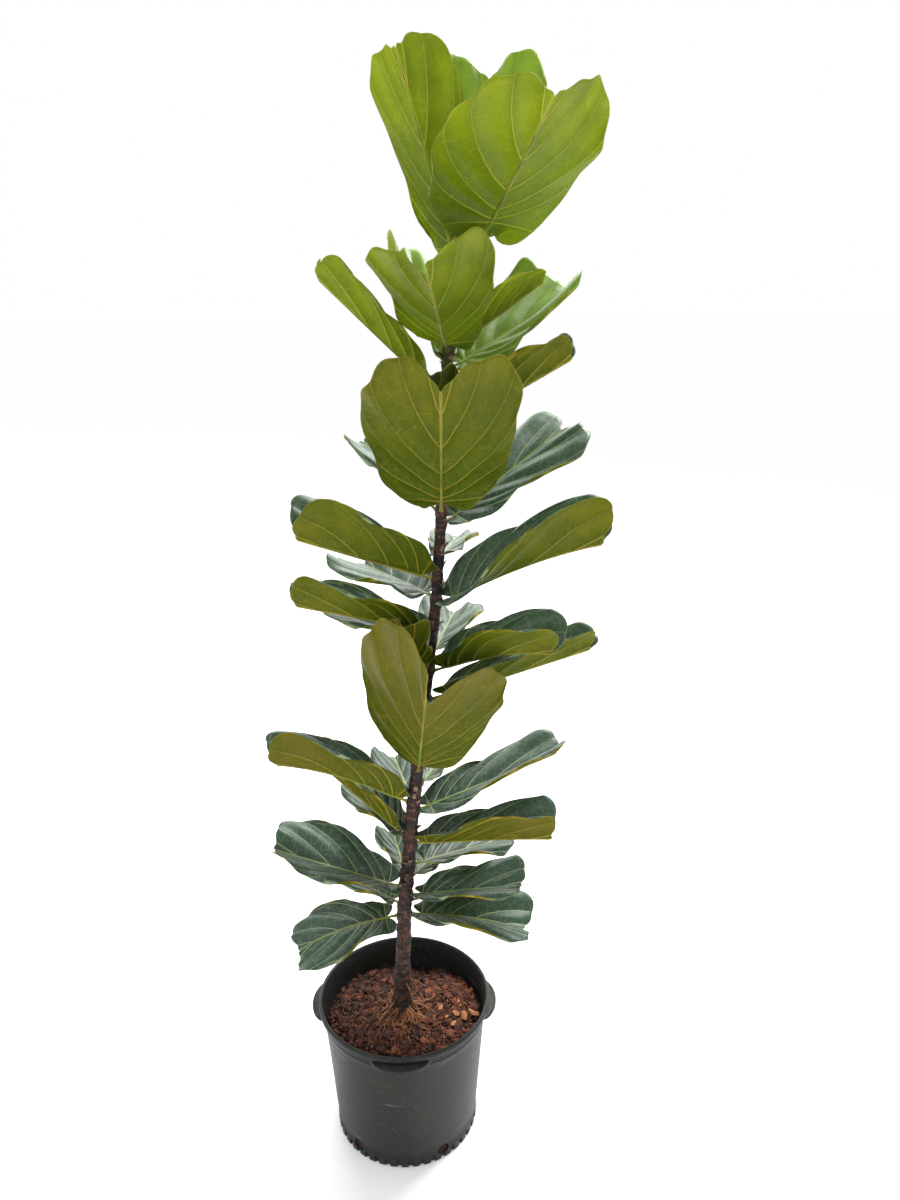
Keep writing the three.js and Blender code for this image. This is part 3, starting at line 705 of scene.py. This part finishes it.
def stem_surface():
    """The stem's rings, with a cushion under each leaf, ring scars, old leaf scars and a ribbed foot."""
    heights = np.concatenate([np.arange(SOCKET_FLOOR + 2, 205, 9), np.arange(205, STEM_TOP, 2.0), [STEM_TOP]])
    angles = around(STEM_SIDES)
    rng = np.random.default_rng(SEED)
    nodes = [(leaf.up, leaf.facing) for leaf in LEAVES]
    bare = [(248, 40), (266, 200), (284, 310), (303, 120), (322, 260), (341, 20), (360, 170)]
    height, angle = np.meshgrid(heights, angles, indexing="ij")
    radius = read_off(STEM_GIRTH, height)
    for up, facing in nodes + bare:
        toward = 0.5 + 0.5 * np.cos(angle - math.radians(facing))
        cushion = 2.2 * toward**3 * hill(height - up + 3, 6)
        scar = 0.7 * hill(height - up - 7 - toward, 1.6)
        radius = radius + cushion - scar + 0.6 * hill(height - up - 3, 3)
    foot = hill(height - 212, 16)
    radius = radius + foot * (1.6 * np.cos(5 * angle) + 0.8 * np.cos(9 * angle + 1))
    radius = radius + 0.5 * slow_swell(rng, 20 * np.cos(angle), height, 26)
    x = read_off(STEM_LINE, height) + radius * np.cos(angle)
    return np.stack([x, radius * np.sin(angle), height], -1), heights


def fig_stem(finish):
    """The woody stem, greener near the tip and damp at its foot."""
    rings, heights = stem_surface()
    vertices, faces = lofted(rings)
    all_heights = np.concatenate([np.repeat(heights, STEM_SIDES), [heights[0], heights[-1]]])
    fields = dict(youth=0.7 * ease(all_heights, 1120, 1330), damp=1 - ease(all_heights, 206, 232))
    return piece("fig_stem", vertices, faces, [finish], fields=fields, stands_for=["stem"])


def tip_sheath(finish):
    """The furled pointed sheath on the stem's tip, slightly twisted, with overlapping edges."""
    foot_x = read_off(STEM_LINE, STEM_TOP)
    rise = np.linspace(0, 48, 25)
    radii = np.interp(rise, [0, 8, 20, 36, 44, 48], [3.2, 4.6, 4.0, 2.1, 1.0, 0.3])
    angles = around(28)
    rings = []
    for up, radius in zip(rise, radii):
        wrap = 1 + 0.14 * ((angles / (2 * np.pi) + up / 150) % 1)
        lean = foot_x + 0.25 * up
        x = lean + radius * wrap * np.cos(angles)
        y = radius * wrap * np.sin(angles)
        rings.append(np.stack([x, y, 0 * angles + STEM_TOP + GAP + up], -1))
    vertices, faces = lofted(rings)
    return piece("tip_sheath", vertices, faces, [finish], stands_for=["tip_bud"])


def husk(rng, height, facing, long, wide):
    """A dried stipule: a narrow pointed shell that curls away from the stem."""
    rows = np.linspace(0, 1, 12)
    columns = np.linspace(-1, 1, 5)
    facing_x, facing_y = turned(facing)
    girth = read_off(STEM_GIRTH, height)
    curl = rng.uniform(0.6, 2.2)
    lift = np.pi / 2 - curl * rows
    ahead = long / 11
    reach = np.concatenate([[0], np.cumsum(np.cos(lift[:-1]) * ahead)]) + girth - 0.5
    rise = np.concatenate([[0], np.cumsum(np.sin(lift[:-1]) * ahead)]) + height
    width = wide / 2 * np.sin(np.pi * np.clip(rows * 0.85 + 0.15, 0, 1)) ** 0.6
    over = columns * width[:, None]
    out = reach[:, None] - 0.35 * width[:, None] * columns**2
    x = read_off(STEM_LINE, height) + out * facing_x - over * facing_y
    y = out * facing_y + over * facing_x
    middle = np.stack([x, y, np.broadcast_to(rise[:, None], x.shape)], -1)
    normal = grid_normals(middle)
    vertices, faces, _ = plate(middle + 0.2 * normal, middle - 0.2 * normal)
    return vertices, faces


def dried_husks(finish):
    """Old stipules left at the nodes."""
    rng = np.random.default_rng(SEED + 200)
    bodies = []
    for leaf in LEAVES:
        for turn in (70, 200, 290):
            if rng.uniform() < 0.55:
                place = leaf.facing + turn + rng.uniform(-30, 30)
                long = rng.uniform(12, 26)
                bodies.append(husk(rng, leaf.up + rng.uniform(-2, 6), place, long, rng.uniform(5, 9)))
    vertices, faces = gathered(bodies)
    return piece("dried_stipules", vertices, faces, [finish])


# ---- the pot ----


def pot_inside(height):
    """Inner radius of the pot wall at a height."""
    share = np.clip((height - HEEL_HEIGHT) / (LIP_BOTTOM - HEEL_HEIGHT), 0, 1)
    return mix(WALL_LOW_RADIUS, WALL_HIGH_RADIUS, share) - WALL


def pot_profile():
    """Radius and height from the middle of the underside up to the lip, and from there down the inside."""
    outside = [(0, 0), (60, 0), (111.5, 0), (112.8, 0.4), (113.6, 1.2), (114, 2.4), (114, 8), (114, 12)]
    outside += [(114, 14), (114, 15.4), (113.7, 16.6), (113.1, 18)]
    wall = [(mix(113.1, WALL_HIGH_RADIUS, k / 16), mix(18, 206.5, k / 16)) for k in range(1, 17)]
    bead = [(128, 208), (129.2, 209), (129.7, 210.5), (129.7, 212.8), (129.2, 214.4), (128.6, 215.4)]
    ledge = [(128.9, 216.6), (130.4, 217.4), (131.5, 218.2), (132, 219.4), (132, 221.6), (131.6, 222.8)]
    lip = [(132.2, 223.8), (133.8, 224.8), (134.8, 226.4), (135, 228.6), (135, 231.4), (134.4, 233.4)]
    crown = [(133.2, 234.6), (131.8, 235), (130.6, 234.6), (129.5, 233.4), (128.8, 231.5), (127.4, 226)]
    inside = [(125.6, 219), (125.1, 214), (125.1, 208)]
    down = [(mix(125.1, 110.6, k / 10), mix(208, 16, k / 10)) for k in range(1, 11)]
    floor = [(110.6, 6), (108.4, POT_FLOOR), (60, POT_FLOOR), (0, POT_FLOOR)]
    return outside + wall + bead + ledge + lip, crown + inside + down + floor


def pot_angles():
    """Turns in degrees round the pot, closer together at the sides of each heel notch."""
    pitch = 360 / NOTCHES
    inside_notch = [-1.95, -1.55, -0.5, 0.5, 1.55, 1.95]
    between = [2.9, 3.9, 5.1, 6.1]
    return np.array([(k + 0.5) * pitch + turn for k in range(NOTCHES) for turn in inside_notch + between])


def nursery_pot(finish):
    """The moulded pot: heel notches, a beaded lip with grip tabs, and drain holes cut through the wall."""
    outside, inside = pot_profile()
    profile = np.array(outside + inside)[1:-1]
    height, turn = np.meshgrid(profile[:, 1], pot_angles(), indexing="ij")
    radius = profile[:, :1] + 0 * turn
    outer = np.arange(len(profile))[:, None] < len(outside) - 1
    pitch = 360 / NOTCHES
    off_notch = np.abs(turn % pitch - pitch / 2)
    on_heel = (height < NOTCH_HEIGHT - 1) * (radius > BASE_RADIUS - 3) * outer
    in_notch = (1 - ease(off_notch, 1.5, 2.0)) * on_heel
    between_tabs = 360 / TABS
    off_tab = np.abs((turn + between_tabs / 2) % between_tabs - between_tabs / 2) / TAB_HALF_ANGLE
    crescent = np.sqrt(np.clip(1 - off_tab**2, 0, 1))
    tab_level = ease(height, 215.5, 217) * (1 - ease(height, 222.5, 224)) * outer
    reach = crescent * tab_level * (RIM_RADIUS - 1 + TAB_REACH * crescent**0.2 - radius)
    wobble = 0.35 * np.sin(np.radians(3 * turn + 40)) + 0.2 * np.sin(np.radians(7 * turn))
    waver = wobble * ease(height, 60, 150) * (1 - ease(height, 200, 212))
    radius = radius - NOTCH_DEPTH * in_notch + reach + waver
    rings = np.stack([radius * np.cos(np.radians(turn)), radius * np.sin(np.radians(turn)), height], -1)
    vertices, faces = lofted(rings)
    vertices[-2] = (0, 0, 0)
    vertices[-1] = (0, 0, POT_FLOOR)
    shell = piece("nursery_pot", vertices, faces, [finish], stands_for=["pot"])
    shell = drilled(shell)
    shell.data.set_sharp_from_angle(angle=math.radians(38))
    return shell


def drain_directions():
    """The cosine and sine of each drain hole's angle."""
    return [turned(DRAIN_TURN + k * 360 / DRAIN_HOLES) for k in range(DRAIN_HOLES)]


def drilled(shell):
    """Cuts the drain holes through the pot wall."""
    for cos, sin in drain_directions():
        start = np.array([cos, sin, 0]) * (BASE_RADIUS - 10) + (0, 0, DRAIN_HEIGHT)
        end = np.array([cos, sin, 0]) * (BASE_RADIUS + 10) + (0, 0, DRAIN_HEIGHT)
        vertices, faces = tube([start, (start + end) / 2, end], [DRAIN_RADIUS] * 3, 32)
        drill = placed("drill", mesh_of("drill", vertices, faces))
        cut = shell.modifiers.new("drain", "BOOLEAN")
        cut.operation = "DIFFERENCE"
        cut.solver = "EXACT"
        cut.object = drill
        evaluated = shell.evaluated_get(bpy.context.evaluated_depsgraph_get())
        result = bpy.data.meshes.new_from_object(evaluated)
        shell.modifiers.clear()
        shell.data = result
        bpy.data.objects.remove(drill)
    return shell


# ---- the soil ----


def soil_top(x, y):
    """Height of the soil: mounds at the right and front, a hollow behind the stem, lower by the wall."""
    mound = 10 * hill(np.hypot(x - 80, y - 20), 45)
    hollow = 16 * hill(np.hypot(x - 10, y - 95), 50)
    front = 6 * hill(np.hypot(x + 20, y + 60), 60)
    edge = 9 * np.clip((np.hypot(x, y) - 85) / 35, 0, 1) ** 2
    return SOIL_LEVEL + mound + front - hollow - edge


def soil_bed(finish):
    """The packed soil itself, uneven on top, which shows between the chips and through the drain holes."""
    rng = np.random.default_rng(SEED + 300)
    sides = 160
    angles = around(sides)
    cos, sin = np.cos(angles), np.sin(angles)
    centre_x = read_off(STEM_LINE, SOIL_LEVEL)
    rings = []
    for radius, height in [(107.6, 3.4), (110.2, 6), (110.2, 16), (113.2, 60), (116, 100), (119, 140)]:
        rings.append(np.stack([radius * cos, radius * sin, 0 * cos + height], -1))
    outer = pot_inside(SOIL_LEVEL - 15) - 0.6
    for share in np.linspace(1, 0, 40):
        x = mix(centre_x + STEM_SOCKET * cos, outer * cos, share)
        y = mix(STEM_SOCKET * sin, outer * sin, share)
        lumps = 1.6 * slow_swell(rng, x, y, 18) if share > 0.99 else rings[-1][:, 2] - soil_top(x, y)
        lumps = 0.86 * lumps + rng.normal(0, 0.9, sides)
        rings.append(np.stack([x, y, soil_top(x, y) - 2.5 + np.clip(lumps, -4, 3)], -1))
    rings.append(np.stack([centre_x + STEM_SOCKET * cos, STEM_SOCKET * sin, 0 * cos + SOCKET_FLOOR], -1))
    vertices, faces = lofted(rings)
    tone = rng.uniform(0.0, 0.5, len(vertices))
    return piece("soil_bed", vertices, faces, [finish], fields=dict(tone=tone), stands_for=["soil"])


def chip_template():
    """The twelve corners and twenty faces of an icosahedron."""
    golden = (1 + math.sqrt(5)) / 2
    corners = []
    for a in (-1, 1):
        for b in (-golden, golden):
            corners += [(0, a, b), (a, b, 0), (b, 0, a)]
    corners = np.array(corners) / math.hypot(1, golden)
    faces = []
    for i, j, k in itertools.combinations(range(12), 3):
        a, b, c = corners[[i, j, k]]
        if max(np.linalg.norm(a - b), np.linalg.norm(b - c), np.linalg.norm(a - c)) < 1.1:
            outward = np.cross(b - a, c - a).dot(a) > 0
            faces.append((i, j, k) if outward else (i, k, j))
    return corners, np.array(faces)


def random_turns(rng, count, tilt):
    """Rotation matrices: any turn about the vertical, and a lean of about tilt degrees."""
    spin = rng.uniform(0, 2 * np.pi, count)
    lean = np.radians(rng.normal(0, tilt, count))
    axis = rng.uniform(0, 2 * np.pi, count)
    zero, one = np.zeros(count), np.ones(count)

    def about_z(angle):
        rows = [np.cos(angle), -np.sin(angle), zero, np.sin(angle), np.cos(angle), zero, zero, zero, one]
        return np.stack(rows, -1).reshape(-1, 3, 3)

    rows = [one, zero, zero, zero, np.cos(lean), -np.sin(lean), zero, np.sin(lean), np.cos(lean)]
    tip = np.stack(rows, -1).reshape(-1, 3, 3)
    return about_z(axis) @ tip @ about_z(-axis) @ about_z(spin)


def bark_chips(finish):
    """Loose bark chips over the whole surface, from crumbs to flakes, and crumbs behind each drain hole."""
    rng = np.random.default_rng(SEED + 400)
    corners, template = chip_template()
    sizes = np.concatenate([rng.uniform(least, most, number) for least, most, number in CHIP_SIZES])
    count = len(sizes)
    reach = pot_inside(SOIL_LEVEL) - 1 - sizes / 2
    radius = reach * np.sqrt(rng.uniform(0.0, 1, count))
    angle = rng.uniform(0, 2 * np.pi, count)
    x, y = radius * np.cos(angle), radius * np.sin(angle)
    stem_x = read_off(STEM_LINE, SOIL_LEVEL)
    away = np.hypot(x - stem_x, y)
    push = np.maximum(0, 17 + sizes / 2 - away) / np.maximum(away, 1)
    x, y = x + (x - stem_x) * push, y + y * push
    lift = rng.uniform(-1.5, 2.5, count) + 0.12 * sizes
    centres = np.stack([x, y, soil_top(x, y) + lift - 1.5], -1)
    shape = np.stack([np.ones(count), rng.uniform(0.45, 0.9, count), rng.uniform(0.16, 0.45, count)], -1)
    half_sizes = (sizes[:, None] / 2 * shape)[:, None, :]
    bodies = corners[None] * (1 + rng.normal(0, 0.14, (count, 12, 1))) * half_sizes
    bodies = np.einsum("nij,nkj->nki", random_turns(rng, count, 16), bodies) + centres[:, None, :]
    # Painted light and shade: chips to the right are lighter, as if sunlit, and those at the back darker, as
    # if shaded, over a random tone.
    tone = np.clip(rng.beta(2.0, 2.6, count) + 0.22 * ease(x, 10, 70) - 0.12 * ease(y, 0, 60), 0, 1)
    holes, hole_tones = drain_plugs(rng, corners)
    vertices = np.concatenate([bodies.reshape(-1, 3), holes.reshape(-1, 3)])
    total = len(vertices) // 12
    faces = (template[None] + 12 * np.arange(total)[:, None, None]).reshape(-1, 3)
    fields = dict(tone=np.repeat(np.concatenate([tone, hole_tones]), 12))
    return piece("bark_chips", vertices, faces, [finish], fields=fields, smooth=False)


def drain_plugs(rng, corners):
    """Chips that show in the drain holes, behind the pot wall's outer face."""
    bodies = []
    for cos, sin in drain_directions():
        for _ in range(DRAIN_CHIPS):
            up, over = rng.uniform(-7, 7, 2)
            depth = BASE_RADIUS - 3.4 - rng.uniform(0, 1.5)
            centre = (depth * cos - over * sin, depth * sin + over * cos, DRAIN_HEIGHT + up)
            bodies.append(corners * rng.uniform(0.7, 2.0, 3) * (1 + rng.normal(0, 0.15, (12, 1))) + centre)
    return np.array(bodies), rng.uniform(0.15, 0.8, len(bodies))


def wandering(rng, start, heading, long, steps, restless):
    """A path over the soil that starts at a point and wanders."""
    x, y = start
    path = []
    for _ in range(steps + 1):
        path.append((x, y))
        x += long / steps * math.cos(heading)
        y += long / steps * math.sin(heading)
        heading += rng.normal(0, restless)
    return np.array(path)


def kept_inside(path, reach):
    """The path with its far points drawn back to a reach from the pot's middle."""
    return path * np.minimum(1, reach / np.maximum(np.hypot(path[:, 0], path[:, 1]), 1))[:, None]


def coir_fibres(finish):
    """Loose coir: short curved threads tangled over the chips."""
    rng = np.random.default_rng(SEED + 500)
    bodies = []
    for _ in range(FIBRES):
        radius = 112 * math.sqrt(rng.uniform(0.03, 1))
        cos, sin = turned(rng.uniform(0, 360))
        heading = rng.uniform(0, 2 * np.pi)
        path = wandering(rng, (radius * cos, radius * sin), heading, rng.uniform(8, 34), 7, 0.35)
        path = kept_inside(path, 118)
        arch = rng.uniform(0, 6) * np.sin(np.linspace(0, np.pi, 8)) + rng.uniform(0.2, 2.2)
        points = np.column_stack([path, soil_top(path[:, 0], path[:, 1]) + arch])
        bodies.append(tube(points, [rng.uniform(0.2, 0.42)] * 8, 4))
    vertices, faces = gathered(bodies)
    return piece("coir_fibres", vertices, faces, [finish])


def surface_roots(finish):
    """Fine roots: some bow from the stem down to the soil, many fan out from its foot."""
    rng = np.random.default_rng(SEED + 600)
    stem_x = read_off(STEM_LINE, 230)
    bodies = []
    # Each long root's facing, its height on the stem above the soil, and its reach.
    strings = [(-60, 62, 70), (-35, 48, 95), (-20, 66, 62), (-130, 40, 60)]
    strings += [(-150, 56, 55), (160, 50, 64), (20, 58, 80)]
    for facing, top, reach in strings:
        cos, sin = turned(facing)
        share = np.linspace(0, 1, 22)
        out = 12 + (reach - 12) * share**1.5
        x = stem_x + out * cos + 3 * np.sin(share * 5)
        y = out * sin + 2 * np.sin(share * 7)
        drop = (1 - share) ** 0.8
        ground = soil_top(x, y) + 0.5
        points = np.column_stack([x, y, ground + top * drop])
        bodies.append(tube(points, mix(0.9, 0.5, share), 6))
    for _ in range(FINE_ROOTS):
        facing = rng.normal(-80, 75)
        cos, sin = turned(facing)
        start = (stem_x + 13 * cos, 13 * sin)
        path = wandering(rng, start, math.radians(facing), rng.uniform(20, 80), 14, 0.4)
        share = np.linspace(0, 1, 15)
        height = soil_top(path[:, 0], path[:, 1]) + 1.2 + rng.uniform(4, 14) * (1 - share) ** 2.5
        points = np.column_stack([kept_inside(path, 116), height])
        bodies.append(tube(points, mix(rng.uniform(0.7, 1.7), 0.3, share), 5))
    vertices, faces = gathered(bodies)
    return piece("surface_roots", vertices, faces, [finish])


# ---- stage, light and camera ----

CAMERA_PLACE = (0.08, -1.175, 1.28)
CAMERA_DOWN = 18.3  # how far it looks down, degrees
CAMERA_ROLL = 0.65
CAMERA_LENS = 27.2


def pale_floor():
    """A plain pale floor."""
    corners = [(-1, -1, 0), (1, -1, 0), (1, 1, 0), (-1, 1, 0)]
    mesh = mesh_of("floor", np.array(corners) * FLOOR_REACH, [(0, 1, 2, 3)])
    floor = placed("floor", mesh)
    material, tree = new_material("pale studio floor")
    colour = coats(tree, "#FFFFFF", ("#FDFDFD", patches(tree, 400)))
    mesh.materials.append(finished(material, tree, colour, 0.9, 5, 0.05))


def soft_lamp(name, place, aim, size, power):
    """A square soft box at a place, turned to its aim."""
    data = bpy.data.lights.new(name, "AREA")
    data.size = size
    data.energy = power
    lamp = placed(name, data)
    lamp.location = place
    toward = np.array(aim) - np.array(place)
    lamp.rotation_euler = (
        math.atan2(math.hypot(toward[0], toward[1]), -toward[2]),
        0,
        math.atan2(toward[1], toward[0]) - math.pi / 2,
    )


def studio():
    """A white room, a key light behind to the right, a broad light from the rear and a weak fill."""
    world = bpy.data.worlds.new("pale room")
    world.use_nodes = True
    sky = world.node_tree.nodes["Background"].inputs
    sky["Color"].default_value = linear("#FFFFFF")
    sky["Strength"].default_value = 1.0
    bpy.context.scene.world = world
    bpy.context.scene.view_settings.view_transform = "Standard"
    soft_lamp("key", (1.5, 1.5, 3.2), (0.05, 0, 0.8), 1.2, 150)
    soft_lamp("rear", (-0.3, 2.6, 2.4), (0.05, 0, 0.9), 2.4, 80)
    soft_lamp("fill", (-1.8, -1.6, 2.2), (0, 0, 0.7), 1.6, 14)


def viewpoint():
    """The camera stands a little over a metre off, at the height of the upper leaves, and looks down."""
    data = bpy.data.cameras.new("camera")
    data.lens = CAMERA_LENS
    data.sensor_width = 36
    data.clip_start = 0.05
    data.clip_end = 100
    camera = placed("camera", data)
    camera.location = CAMERA_PLACE
    camera.rotation_mode = "ZYX"
    camera.rotation_euler = (math.radians(90 - CAMERA_DOWN), 0, math.radians(-CAMERA_ROLL))
    bpy.context.scene.camera = camera


# ---- the whole plant ----


def skins_by_age():
    """Upper side, underside and stalk finishes for young, grown and old leaves."""
    rind = stalk_skin()
    looks = {
        "young": [
            ("#58801A", "#6C961C", "#3C6414", "#A8B84C", "#E2E800", 0.42, 0.5, 0.42, 0.6, -0.25),
            ("#5A7008", "#828C0C", "#42580A", "#BDB63A", "#C6D600", 0.52, 0.3, 0.42, 0.7, 0.35),
        ],
        "grown": [
            ("#173B28", "#20482E", "#112E1E", "#8DA46C", "#A0B000", 0.46, 0.55, 0.12, 0.75, -0.25),
            ("#566A06", "#7A7C0C", "#42580A", "#C4AC3A", "#B4C200", 0.52, 0.22, 0.42, 0.75, 0.35),
        ],
        "old": [
            ("#16362A", "#1E4432", "#102A20", "#90A270", "#A0A400", 0.46, 0.55, 0.1, 0.75, -0.25),
            ("#5C6604", "#746C06", "#4A5A06", "#C4AA3C", "#BCB800", 0.52, 0.22, 0.36, 0.75, 0.35),
        ],
    }
    skins = {}
    for age, (top, under) in looks.items():
        upper = leaf_skin(f"waxy upper side of a {age} leaf", *top)
        lower = leaf_skin(f"dull underside of a {age} leaf", *under)
        skins[age] = [upper, lower, rind]
    return skins


def main():
    viewpoint()
    skins = skins_by_age()
    for number, leaf in enumerate(LEAVES, 1):
        age = "young" if leaf.up > YOUNG_ABOVE else "grown" if leaf.up > GROWN_ABOVE else "old"
        fig_leaf(number, leaf, skins[age])
    bark = bark_skin()
    fig_stem(bark)
    tip_sheath(root_skin("dry bud sheath", "#8C6A34", "#5C3B1D"))
    dried_husks(root_skin("dried stipule", "#8F7A66", "#3F2C20"))
    nursery_pot(pot_skin())
    soil = chip_skin()
    soil_bed(soil)
    bark_chips(soil)
    coir_fibres(root_skin("coir fibre", "#8A5A3C", "#4A2A1A"))
    surface_roots(root_skin("fine fig root", "#A5704C", "#5A3A28"))
    pale_floor()
    studio()


main()
